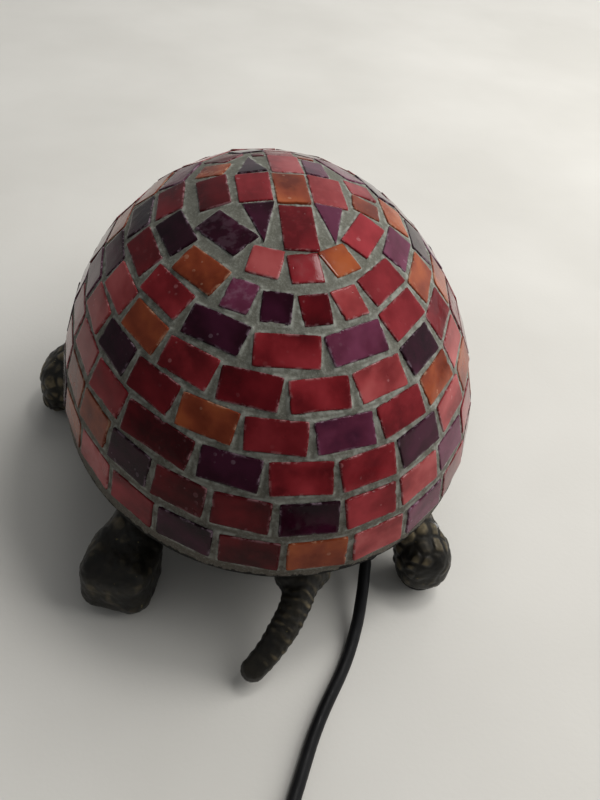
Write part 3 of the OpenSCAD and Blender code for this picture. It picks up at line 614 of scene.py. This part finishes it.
def grout():
    """Grout that dips between the tiles and climbs a little up their sides."""
    outer = egg_grid(SHELL, GROUT_UP)
    normal = (outer - SHELL_MID) / SHELL ** 2
    normal /= np.linalg.norm(normal, axis=1)[:, None]
    level = np.full(len(outer), -GROUT_DIP)
    level += 0.10 * MM * rough(outer / MM, 5) + 0.07 * MM * rough(outer / MM, 1.7, 3.0)
    hold = np.full(len(outer), 9.0)
    for tile in [t for tiles in TILES.values() for t in tiles]:
        close = np.nonzero(np.linalg.norm(outer - tile.mid, axis=1) < 20 * MM)[0]
        reach, over = tile.inside(outer[close])
        face = -over
        gap = -reach / MM
        rise = np.exp(-np.clip(gap, 0, 9) / 0.8)
        climb = level[close] + (face - 0.30 * MM - level[close]) * rise * 0.8
        wanted = np.where(gap < -0.5, face - 1.1 * MM, climb)
        nearer = gap < hold[close]
        level[close] = np.where(nearer, wanted, level[close])
        hold[close] = np.where(nearer, gap, hold[close])
    outer = outer + normal * level[:, None]
    outer[:GROUT_ROUND, 2] = RIM
    inner = egg_grid(SHELL - TILE_THICK, GROUT_UP_INSIDE)
    half = len(outer)
    faces = []
    for start, rings in ((0, GROUT_UP), (half, GROUT_UP_INSIDE)):
        for r in range(rings - 1):
            a = start + r * GROUT_ROUND + np.arange(GROUT_ROUND)
            b = start + r * GROUT_ROUND + (np.arange(GROUT_ROUND) + 1) % GROUT_ROUND
            quads = np.stack([a, b, b + GROUT_ROUND, a + GROUT_ROUND], 1)
            faces += (quads if start == 0 else quads[:, ::-1]).tolist()
        crown = start + rings * GROUT_ROUND
        last = crown - GROUT_ROUND
        for k in range(GROUT_ROUND):
            fan = (last + k, last + (k + 1) % GROUT_ROUND, crown)
            faces.append(fan if start == 0 else fan[::-1])
    for k in range(GROUT_ROUND):
        j = (k + 1) % GROUT_ROUND
        faces.append((k, half + k, half + j, j))
    beside = np.append(np.clip(1 - np.abs(hold - 0.3) / 0.9, 0, 1), np.zeros(len(inner)))
    piece = mesh_piece("grout_bed", np.vstack([outer, inner]), faces, beside=beside)
    finish_piece(piece, "shade", "grout", "grout")


grout()

# ---------------------------------------------------------------- castings

# The tray's side, from the CAD profile: heights, and distances from the middle across its width
SIDE_Z = np.array([0, 6, 11.5, 22, 31, 34, 60])
SIDE_R = np.array([58, 60, 65, 71, 76.5, 78.5, 78.5])


def tray_reach(p):
    """How far each point, in millimetres, lies outside the tray's side."""
    r = np.hypot(p[:, 0], (p[:, 1] - SHELL_Y / MM) / OVAL)
    return r - np.interp(p[:, 2], SIDE_Z, SIDE_R)


def seen_from(p, middle, turn):
    """Points seen from a middle that is turned about Z, in degrees."""
    q = p - np.array(middle, float)
    c, s = math.cos(math.radians(turn)), math.sin(math.radians(turn))
    return np.stack([q[:, 0] * c + q[:, 1] * s, q[:, 1] * c - q[:, 0] * s, q[:, 2]], 1)


def ball(p, middle, size, turn=0.0):
    """Distance from a ball stretched to the given half sizes, turned about Z in degrees."""
    q = seen_from(p, middle, turn)
    size = np.array(size, float)
    a = np.linalg.norm(q / size, axis=1)
    b = np.linalg.norm(q / size ** 2, axis=1)
    return a * (a - 1) / np.maximum(b, 1e-6)


def block(p, middle, half, soft, turn=0.0):
    """Distance from a block with rounded edges, turned about Z in degrees."""
    q = np.abs(seen_from(p, middle, turn)) - (np.array(half, float) - soft)
    return np.linalg.norm(np.maximum(q, 0), axis=1) + np.minimum(q.max(1), 0) - soft


def rod(p, start, end, r1, r2):
    """Distance from a round rod that tapers from one end to the other."""
    start, end = np.array(start, float), np.array(end, float)
    way = end - start
    u = np.clip((p - start) @ way / (way @ way), 0, 1)
    return np.linalg.norm(p - start - u[:, None] * way, axis=1) - (r1 + (r2 - r1) * u)


def join(a, b, soft):
    """a and b run together, with a fillet about soft in size."""
    h = np.clip(0.5 + 0.5 * (b - a) / soft, 0, 1)
    return b * (1 - h) + a * h - soft * h * (1 - h)


def carve(a, b, soft):
    """a with b cut away, and the cut's edge rounded by about soft."""
    return -join(-a, b, soft)


# How many times a skin's points are pulled onto its form
SKIN_PULLS = 6


def skin(form, low, high, step):
    """Wraps a smooth closed form, given as a distance, in an even mesh of quads."""
    axes = [np.arange(low[k] - 2 * step, high[k] + 3 * step, step) for k in range(3)]
    grid = np.stack(np.meshgrid(*axes, indexing="ij"), -1)
    shape = grid.shape[:3]
    d = form(grid.reshape(-1, 3)).reshape(shape)
    inside = d < 0
    cells = np.zeros(tuple(s - 1 for s in shape), int)
    for c in np.ndindex(2, 2, 2):
        cells += inside[tuple(slice(c[k], shape[k] - 1 + c[k]) for k in range(3))]
    edge_cells = (cells > 0) & (cells < 8)
    number = np.full(cells.shape, -1)
    number[edge_cells] = np.arange(edge_cells.sum())
    where = np.argwhere(edge_cells)
    points = np.stack([axes[k][where[:, k]] + step / 2 for k in range(3)], 1)
    quads = []
    for k in range(3):
        i, j = (k + 1) % 3, (k + 2) % 3
        here = [slice(1, -1)] * 3
        here[k] = slice(0, -1)
        there = [slice(1, -1)] * 3
        there[k] = slice(1, None)
        a, b = inside[tuple(here)], inside[tuple(there)]
        for crossing, flip in ((a & ~b, False), (~a & b, True)):
            at = np.argwhere(crossing)
            at[:, i] += 1
            at[:, j] += 1
            ring = []
            for di, dj in ((-1, -1), (0, -1), (0, 0), (-1, 0)):
                cell = at.copy()
                cell[:, i] += di
                cell[:, j] += dj
                ring.append(number[cell[:, 0], cell[:, 1], cell[:, 2]])
            ring = np.stack(ring, 1)
            quads.append(ring[:, ::-1] if flip else ring)
    for _ in range(SKIN_PULLS):
        slope = gradient(form, points)
        points = points - slope * form(points)[:, None]
    return points, np.vstack(quads)


def gradient(form, p, h=0.05):
    """The way that a form's distance grows at each point."""
    slope = np.stack([form(p + h * e) - form(p - h * e) for e in np.eye(3)], 1)
    return slope / np.maximum(np.linalg.norm(slope, axis=1), 1e-9)[:, None]


def casting(name, form, low, high, step, relief, node, floor=None):
    """A cast piece: a smooth form with relief along its skin, and numbers that say what is raised and, on
    some pieces, where light is painted on.
    """
    points, quads = skin(form, low, high, step)
    out = gradient(form, points)
    deep, proud = relief(points, out)
    points = points + out * deep[:, None]
    if floor is not None:
        points[:, 2] = np.maximum(points[:, 2], floor)
    piece = mesh_piece(name, points * MM, quads, proud=proud)
    finish_piece(piece, "base", "bronze", node)


# The legs stand on their pads, this far over the floor
FLOOR_GAP = 1.0
CASTING_STEP = 0.62


def hide_relief(size, deep, salt, fine=0.1, lumps=0.0):
    """Scaly skin: flat-topped scales with creases between them, soft lumps, and the casting's grain."""

    def relief(p, out):
        bent = p + 1.1 * np.stack([rough(p, 6, salt + k) for k in range(3)], 1)
        s = scales(bent, size, salt)
        raised = s * s * (3 - 2 * s)
        amount = deep * (0.65 + 0.35 * rough(p, 14, salt + 9))
        lump = rough(p, 7.5, salt + 11)
        high = amount * (raised - 0.6) + lumps * lump
        high += fine * rough(p, 1.1, salt + 2) + 0.5 * fine * rough(p, 0.6, salt + 5)
        lit = 0.2 + min(1, deep) * 0.6 * raised + 0.2 * lump + 0.2 * rough(p, 2.5, salt + 7)
        return high, np.clip(lit, 0, 1)

    return relief


def outside_tray(p, d, sink=1.5):
    """A casting cut off just inside the tray's wall."""
    return np.maximum(d, -(tray_reach(p) + sink))


def leg(name, thigh, thigh_half, foot, foot_half, soft, turn, claws, relief):
    """A leg: a thigh that swells out of the tray, a stout foot that is soft at its edges, and claws."""
    heading = math.radians(turn)
    middle = np.array([foot[0], foot[1], FLOOR_GAP + foot_half[2]])

    def form(p):
        d = ball(p, (thigh[0], thigh[1], 21.5), thigh_half, turn)
        d = join(d, block(p, middle, foot_half, soft, turn), 7)
        for k in claws:
            a = heading + math.radians(k)
            way = np.array([math.cos(a), math.sin(a), 0])
            tip = np.array([foot[0], foot[1], 4.6]) + (foot_half[0] - 2.6) * way
            d = join(d, rod(p, tip - 7 * way + (0, 0, 2.6), tip, 4.8, 3.5), 2.5)
        return outside_tray(p, d)

    reach = 21
    low = (min(thigh[0], foot[0]) - reach, min(thigh[1], foot[1]) - reach, 0)
    high = (max(thigh[0], foot[0]) + reach, max(thigh[1], foot[1]) + reach, 36)
    node = name.replace("casting", "leg")
    casting(name, form, low, high, CASTING_STEP, relief, node, floor=FLOOR_GAP)


leg("casting_front_left", (-73, 20), (15, 13, 10.5), (-81.5, 13), (15.5, 13, 11.5), 8, 172, (-36, 0, 36),
    hide_relief(5.6, 0.9, 21, lumps=0.5))
leg("casting_front_right", (73, 20), (15, 13, 10.5), (81.5, 13), (15.5, 13, 11.5), 8, 8, (-36, 0, 36),
    hide_relief(5.6, 0.9, 22, lumps=0.5))
leg("casting_rear_left", (-52, -77), (9.5, 10, 8.5), (-58.6, -91), (12.6, 12.2, 11.5), 6.5, -20, (),
    hide_relief(5.0, 0.22, 23, lumps=0.45))
# The rear right leg's deeper relief also turns more of its scales olive: a painted highlight for the light
# that falls on it from the right
leg("casting_rear_right", (47.5, -82), (9.5, 9.5, 7), (52.4, -93.4), (10.4, 11, 11.5), 9.5, 0, (),
    hide_relief(5.2, 0.75, 25, lumps=0.35))


EYE = (3.5, 3.5, 3.5)


def head():
    """Neck, skull, muzzle, brows, eye sockets, nostrils and mouth, with folds round the neck."""

    def form(p):
        d = rod(p, (0, 70, 25), (0, 104, 28), 10.5, 9.5)
        d = join(d, ball(p, (0, 112, 33), (14.5, 17, 12.5)), 6)
        d = join(d, ball(p, (0, 123, 30), (9.5, 10.6, 9)), 4)
        for x in (-1, 1):
            d = join(d, ball(p, (10.2 * x, 120, 40), (4.2, 6, 3)), 3)
            d = carve(d, np.linalg.norm(p - (11 * x, 122, 38), axis=1) - 3.9, 0.6)
            d = carve(d, ball(p, (2.6 * x, 133.2, 33), (1.0, 1.4, 0.8)), 0.5)
        mouth = np.abs(p[:, 2] - (27.6 + 0.004 * (p[:, 1] - 133) ** 2)) - 0.35
        mouth = np.maximum(mouth, 111 - p[:, 1])
        mouth = np.maximum(mouth, -(d + 1.2))
        d = carve(d, mouth, 0.5)
        return outside_tray(p, d)

    def relief(p, out):
        high, proud = hide_relief(5.2, 0.5, 31, lumps=0.3)(p, out)
        folds = np.clip((106 - p[:, 1]) / 8, 0, 1)
        high += folds * 0.45 * np.sin(p[:, 1] * 1.25 + 0.8 * rough(p, 7, 4.0))
        smoother = np.clip((p[:, 1] - 122) / 6, 0, 0.75)
        return high * (1 - smoother), proud

    casting("casting_head", form, (-20, 68, 12), (20, 135, 50), CASTING_STEP, relief, "head")
    for side, x in (("left", -1), ("right", 1)):
        middle = np.array([10.6 * x, 122, 38])
        points, quads = skin(lambda p: ball(p, middle, EYE), middle - 5, middle + 5, 0.5)
        eye = mesh_piece(f"eye_{side}", points * MM, quads)
        finish_piece(eye, "base", "eye", "eyes")


head()

# The three points that lead the tail's curve, its radius at the root and the tip, and how much of it is left
TAIL = np.array([(5, -94, 21), (6, -119, 22), (-19, -132.4, 2.8)], float)
TAIL_ROOT, TAIL_TIP = 6.2, 4.1
TAIL_END = 0.905
TAIL_RIBS = 17


def tail_middle(u):
    u = u[:, None]
    return (1 - u) ** 2 * TAIL[0] + 2 * u * (1 - u) * TAIL[1] + u ** 2 * TAIL[2]


def tail_reach(u):
    """The tail's radius at a part of its length: it swells a little in the middle."""
    swell = 0.35 * math.sin(math.pi * min(1, u / 0.95)) ** 2 - 0.15
    return TAIL_ROOT + (TAIL_TIP - TAIL_ROOT) * u + swell


def tail():
    """A tail that curls down to its left, with a root that flares into the tray, and ribs whose crests are
    rubbed lighter; skin and ribs also carry a painted highlight where they face right and up.
    """
    steps = np.linspace(0, TAIL_END, 48)
    line = tail_middle(steps)

    def along(p):
        near = np.linalg.norm(p[:, None] - line[None], axis=2)
        return steps[near.argmin(1)], near

    def form(p):
        d = np.full(len(p), 99.0)
        for k in range(len(line) - 1):
            r1, r2 = (tail_reach(steps[i]) for i in (k, k + 1))
            d = np.minimum(d, rod(p, line[k], line[k + 1], r1, r2))
        d = join(d, ball(p, (4.5, -103.5, 21), (10, 5.5, 8)), 4)
        return outside_tray(p, d, 3)

    def relief(p, out):
        u, near = along(p)
        ways = np.gradient(line, axis=0)
        k = near.argmin(1)
        ahead = ways[k] / np.linalg.norm(ways[k], axis=1)[:, None]
        u = u + ((p - line[k]) * ahead).sum(1) / np.linalg.norm(ways[k], axis=1) * (steps[1] - steps[0])
        rib = np.sin(2 * math.pi * (TAIL_RIBS * u + 0.3 * rough(p, 4, 6.0)))
        fade = np.clip((0.88 - u) / 0.1, 0, 1)
        skin_high, skin_proud = hide_relief(3.4, 0.2, 41, lumps=0.2)(p, out)
        # Painted highlight: the tail is lighter where it faces right and up, towards the light, and darker
        # on its other sides
        lit_side = np.clip(0.6 + 0.5 * out[:, 0] + 0.3 * out[:, 2], 0, 1)
        high = 0.11 * rib * fade + skin_high
        tick = rib * fade * lit_side * (0.5 + 0.5 * rough(p, 2.6, 7.0))
        return high, np.clip(0.24 + 0.36 * tick + 0.5 * (skin_proud - 0.3) + 0.16 * lit_side, 0, 1)

    casting("casting_tail", form, (-26, -138, 0), (16, -92, 30), 0.5, relief, "tail", floor=0.25)


tail()

# The tray's profile, as distance from the middle across its width and height
TRAY = [
    (60, 6), (65, 11.5), (71, 22), (76.5, 31), (78.5, 34), (78.5, 37), (74.6, 37), (74.6, 41.5),
    (72.2, 41.5), (72.2, 33), (67.5, 23), (61.5, 12.4), (61, 11), (50, 11), (50, 8), (57.6, 8), (57.6, 6),
]
TRAY_ROUND = 420


def even_steps(points, step):
    """Points about step apart along straight lines, with every corner kept, and which line each is on."""
    made = []
    for k, (p, q) in enumerate(zip(points, points[1:] + points[:1])):
        p, q = np.array(p, float), np.array(q, float)
        n = max(1, round(np.linalg.norm(q - p) / step))
        made += [(*(p + (q - p) * j / n), k) for j in range(n)]
    return np.array(made)


def ring_faces(rows, around):
    """Quads between rings of points; the last ring joins the first."""
    at = np.arange(rows * around).reshape(rows, around)
    right = np.roll(at, -1, 1)
    return np.stack([at, right, np.roll(right, -1, 0), np.roll(at, -1, 0)], -1).reshape(-1, 4)


def tray():
    """The tray: its profile turned about the shell's middle, to an oval, with relief on its outer side."""
    profile = even_steps(TRAY, 1.4)
    turn = np.linspace(0, 2 * math.pi, TRAY_ROUND, endpoint=False)
    r, z = profile[:, 0][:, None], profile[:, 1][:, None]
    y = SHELL_Y / MM - r * OVAL * np.cos(turn)
    points = np.stack([r * np.sin(turn), y, z + 0 * turn], -1).reshape(-1, 3)
    faces = ring_faces(len(profile), TRAY_ROUND)
    line = np.repeat(profile[:, 2], TRAY_ROUND)
    z = points[:, 2]
    side = np.where((line <= 3) & (z > 7), np.clip((z - 7) / 4, 0, 1) * np.clip((34.5 - z) / 3, 0, 1), 0)
    out = points - (0, SHELL_Y / MM, 0)
    out = out / (1, OVAL ** 2, 1) * (1, 1, 0)
    out /= np.linalg.norm(out, axis=1)[:, None]
    deep, proud = hide_relief(6.5, 1.0, 51)(points, out)
    points = points + out * (deep * side + 0.08 * rough(points, 1.6, 8.0))[:, None]
    piece = mesh_piece("casting_tray", points * MM, faces, proud=np.where(side > 0, proud, 0.45))
    finish_piece(piece, "base", "bronze", "base_tray")


tray()

# ---------------------------------------------------------------- lead and its fittings

finish_piece(cord, "base", "cord", "cord_lead", "cord_link", "cord_coil", "cord_end")

# Where the lead goes into the plug; the strain relief's length; half the plug's height
PLUG_MOUTH = np.array([41.4, -282, 7.0])
RELIEF_LONG = 22
PLUG_HALF = 6.4
FITTING_STEP = 0.42


def plug():
    """The plug's grip, with a ribbed and tapered strain relief where the lead goes in."""

    def form(p):
        q = p - PLUG_MOUTH
        boot = rod(q, (0, 0, 0), (0, RELIEF_LONG, 0), 3.1, 4.7)
        ribbed = (q[:, 1] > 1) * (q[:, 1] < RELIEF_LONG - 3)
        grooves = np.clip(np.cos(q[:, 1] * 2 * math.pi / 3.1), 0, 1) * ribbed
        boot = np.maximum(boot + 0.55 * grooves, -q[:, 1])
        grip = block(q, (0, 28.5, 0), (17.3, 7.5, 6.3), 5.2)
        waist = rod(q, (-4.6, 21, 0), (4.6, 21, 0), 5.2, 5.2)
        grip = join(grip, waist, 5)
        ribs = np.abs(np.abs(q[:, 1] - 28.4) % 2.6 - 1.3) - 0.45
        grip = np.where(np.abs(q[:, 0]) < 9, carve(grip, np.maximum(ribs, -(grip + 0.45)), 0.2), grip)
        return np.maximum(join(boot, grip, 1.5), np.maximum(q[:, 1] - 36, np.abs(q[:, 2]) - PLUG_HALF))

    points, quads = skin(form, PLUG_MOUTH - (19, 2, 8), PLUG_MOUTH + (19, 37, 8), FITTING_STEP)
    return finish_piece(mesh_piece("plug_grip", points * MM, quads), "base", "switch", "plug_body")


SWITCH_MID = np.array([-14, -238, 8.0])
SWITCH_HALF = (11.9, 20.5, 7.9)
SWITCH_SCREWS = ((7.4, 15), (-7.4, -15))


def switch_case():
    """The in-line switch's two halves, soft at the edges, with ends that taper down to the lead."""

    def form(p):
        q = p - SWITCH_MID
        d = block(q, (0, 0, 0), SWITCH_HALF, 3.2)
        for way in (-1, 1):
            d = join(d, rod(q, (0, 17 * way, 0), (0, 31 * way, 0), 7.6, 3.6), 5)
        d = np.maximum(d, np.maximum(np.abs(q[:, 1]) - 29.9, np.abs(q[:, 2]) - SWITCH_HALF[2]))
        rocker = np.maximum(np.maximum(np.abs(q[:, 0]) - 6.1, np.abs(q[:, 1]) - 10), 0.5 - q[:, 2])
        d = carve(d, rocker, 0.5)
        d = carve(d, np.maximum(np.abs(q[:, 2]) - 0.15, -(d + 0.45)), 0.15)
        for x, y in SWITCH_SCREWS:
            hole = np.maximum(np.hypot(q[:, 0] - x, q[:, 1] - y) - 2.4, q[:, 2] + 5.2)
            d = carve(d, hole, 0.3)
        for y in (17, 19, 21, 23):
            groove = np.maximum(np.abs(np.abs(q[:, 1]) - y - 1.5) - 0.4, -(d + 0.4))
            d = carve(d, groove, 0.3)
        return d

    points, quads = skin(form, SWITCH_MID - (14, 32, 9), SWITCH_MID + (14, 32, 9), FITTING_STEP)
    piece = mesh_piece("switch_case", points * MM, quads)
    return finish_piece(piece, "base", "switch", "switch_bottom", "switch_top")


plug_grip = plug()
case = switch_case()

# ---------------------------------------------------------------- the bulb's thread and its sleeve

THREAD_PITCH = 2.82
THREAD_DEEP = 0.42
# Heights and radii of the bulb's cap, the sleeve that it screws into and the sleeve's flange, from part.scad
CAP_LOW, CAP_HIGH, CAP_OUTER, CAP_INNER = 35, 51, 6.9, 6.3
SLEEVE_LOW, SLEEVE_HIGH, SLEEVE_OUTER, SLEEVE_INNER = 30, 48, 7.7, 7.2
FLANGE_HIGH, FLANGE_OUTER = 30.9, 9


def thread(turn, z, low, high):
    """How far a rolled thread is sunk at an angle and a height; it runs out at both ends."""
    run_out = np.clip(np.minimum(z - low, high - z) / 0.6, 0, 1)
    return THREAD_DEEP * run_out * (0.5 - 0.5 * np.cos(2 * math.pi * z / THREAD_PITCH - turn))


def threaded_tube(name, body, node, low, high, outer, inner):
    """A thin brass tube upright on the lamp's axis, from its radii at angles and heights."""
    turn, z = np.meshgrid(np.linspace(0, 2 * math.pi, 72, endpoint=False), np.arange(low, high + 0.1, 0.2))
    radius = np.vstack([outer(turn, z), inner(turn, z)[::-1]])
    turn, z = np.vstack([turn, turn]), np.vstack([z, z[::-1]])
    points = np.stack([radius * np.cos(turn), radius * np.sin(turn) + SHELL_Y / MM, z], -1).reshape(-1, 3)
    piece = mesh_piece(name, points * MM, ring_faces(*radius.shape))
    finish_piece(piece, body, "brass", node)
    piece.data.set_sharp_from_angle(angle=math.radians(50))


threaded_tube(
    "bulb_thread", "bulb", "bulb_cap", CAP_LOW, CAP_HIGH,
    lambda turn, z: CAP_OUTER - thread(turn, z, CAP_LOW + 0.4, CAP_HIGH - 1.6),
    lambda turn, z: np.full(z.shape, CAP_INNER),
)
threaded_tube(
    "socket_sleeve", "base", "socket_thread", SLEEVE_LOW, SLEEVE_HIGH,
    lambda turn, z: np.where(z < FLANGE_HIGH, FLANGE_OUTER, SLEEVE_OUTER),
    lambda turn, z: SLEEVE_INNER + thread(turn, z, SLEEVE_LOW + 1, SLEEVE_HIGH - 0.4),
)

# ---------------------------------------------------------------- carried-over CAD parts

CARRIED = {
    "foot_pads": "pad", "body_screws": "steel", "base_plate": "plate", "plate_screws": "steel",
    "bracket": "steel", "bracket_screws": "steel", "socket_nipple": "brass", "nipple_nut": "brass",
    "socket_cap": "bakelite", "socket_shell": "bakelite", "socket_ring": "bakelite",
    "socket_contact": "brass", "terminal_screws": "brass", "wire_live": "wire_brown",
    "wire_neutral": "wire_blue", "cord_gland": "pad", "cord_clamp": "bakelite", "clamp_screws": "steel",
    "cord_inner": "cord", "shade_dome": "glass_dome", "bulb_glass": "bulb_glass",
    "bulb_insulator": "bakelite", "bulb_contact": "steel", "bulb_stem": "bulb_clear",
    "bulb_filament": "tungsten", "switch_screws": "steel", "switch_rocker": "switch", "cord_tie": "pad",
    "plug_pins": "brass",
}
BEVELLED = {
    "bracket", "cord_clamp", "nipple_nut", "bracket_screws", "plate_screws", "clamp_screws",
    "terminal_screws", "socket_cap", "socket_shell", "socket_ring", "cord_gland", "foot_pads", "base_plate",
    "cord_tie", "switch_rocker", "plug_pins",
}


def carry(node, slot):
    """Gives a CAD part its material and, where its edges would look razor sharp, a small bevel."""
    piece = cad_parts[node]
    piece.data.materials.clear()
    piece.data.materials.append(PAINTS[slot])
    if node in BEVELLED:
        bevel = piece.modifiers.new("edges", "BEVEL")
        bevel.width = 0.3 * MM
        bevel.segments = 2
        bevel.limit_method = "ANGLE"
        bevel.angle_limit = math.radians(40)


for node, slot in CARRIED.items():
    carry(node, slot)

# ---------------------------------------------------------------- floor and light


def make_floor():
    mesh = bpy.data.meshes.new("floor")
    form = bmesh.new()
    bmesh.ops.create_grid(form, x_segments=8, y_segments=8, size=3)
    form.to_mesh(mesh)
    form.free()
    floor = bpy.data.objects.new("floor", mesh)
    floor.data.materials.append(floor_paint())
    scene.collection.objects.link(floor)


LIGHT_AIM = (0, 0, 0.05)
LIGHT_COLOUR = (1.0, 0.985, 0.96)


def area_light(name, at, size, power, glossy=True):
    """A round soft light; one that isn't glossy leaves no bright spot on the glass."""
    light = bpy.data.objects.new(name, bpy.data.lights.new(name, "AREA"))
    light.data.shape = "DISK"
    light.data.size = size
    light.data.energy = power
    light.data.color = LIGHT_COLOUR
    light.visible_glossy = glossy
    light.location = at
    way = Vector(LIGHT_AIM) - Vector(at)
    light.rotation_mode = "QUATERNION"
    light.rotation_quaternion = way.to_track_quat("-Z", "Y")
    scene.collection.objects.link(light)


# Which way the studio brightens, in degrees, how bright it is at either end, and its colour
WORLD_TURN = 62
WORLD_DIM, WORLD_BRIGHT = 0.2, 0.65
WORLD_COLOUR = (0.97, 0.985, 1.0, 1)


def make_world():
    """A soft studio: bright beyond the lamp on its right, dim on the near side and the left."""
    world = bpy.data.worlds.new("studio")
    world.use_nodes = True
    tree = world.node_tree
    turned = tree.nodes.new("ShaderNodeMapping")
    turned.inputs["Rotation"].default_value = (0, 0, math.radians(WORLD_TURN))
    tree.links.new(tree.nodes.new("ShaderNodeTexCoord").outputs["Generated"], turned.inputs["Vector"])
    way = tree.nodes.new("ShaderNodeSeparateXYZ")
    tree.links.new(turned.outputs[0], way.inputs[0])
    fade = tree.nodes.new("ShaderNodeMapRange")
    fade.interpolation_type = "SMOOTHSTEP"
    for k, value in enumerate((-0.1, 0.95, WORLD_DIM, WORLD_BRIGHT)):
        fade.inputs[k + 1].default_value = value
    tree.links.new(way.outputs["Y"], fade.inputs[0])
    tree.links.new(fade.outputs[0], tree.nodes["Background"].inputs["Strength"])
    tree.nodes["Background"].inputs["Color"].default_value = WORLD_COLOUR
    scene.world = world


make_floor()
make_world()
area_light("window", (0.5, 0.25, 1.2), 0.3, 3.5)
area_light("side", (0.9, 0, 0.7), 1.2, 11.5, glossy=False)
area_light("back", (0.35, 1.0, 0.9), 1.2, 5.2, glossy=False)
scene.view_settings.view_transform = "Standard"
scene.view_settings.exposure = 0.0
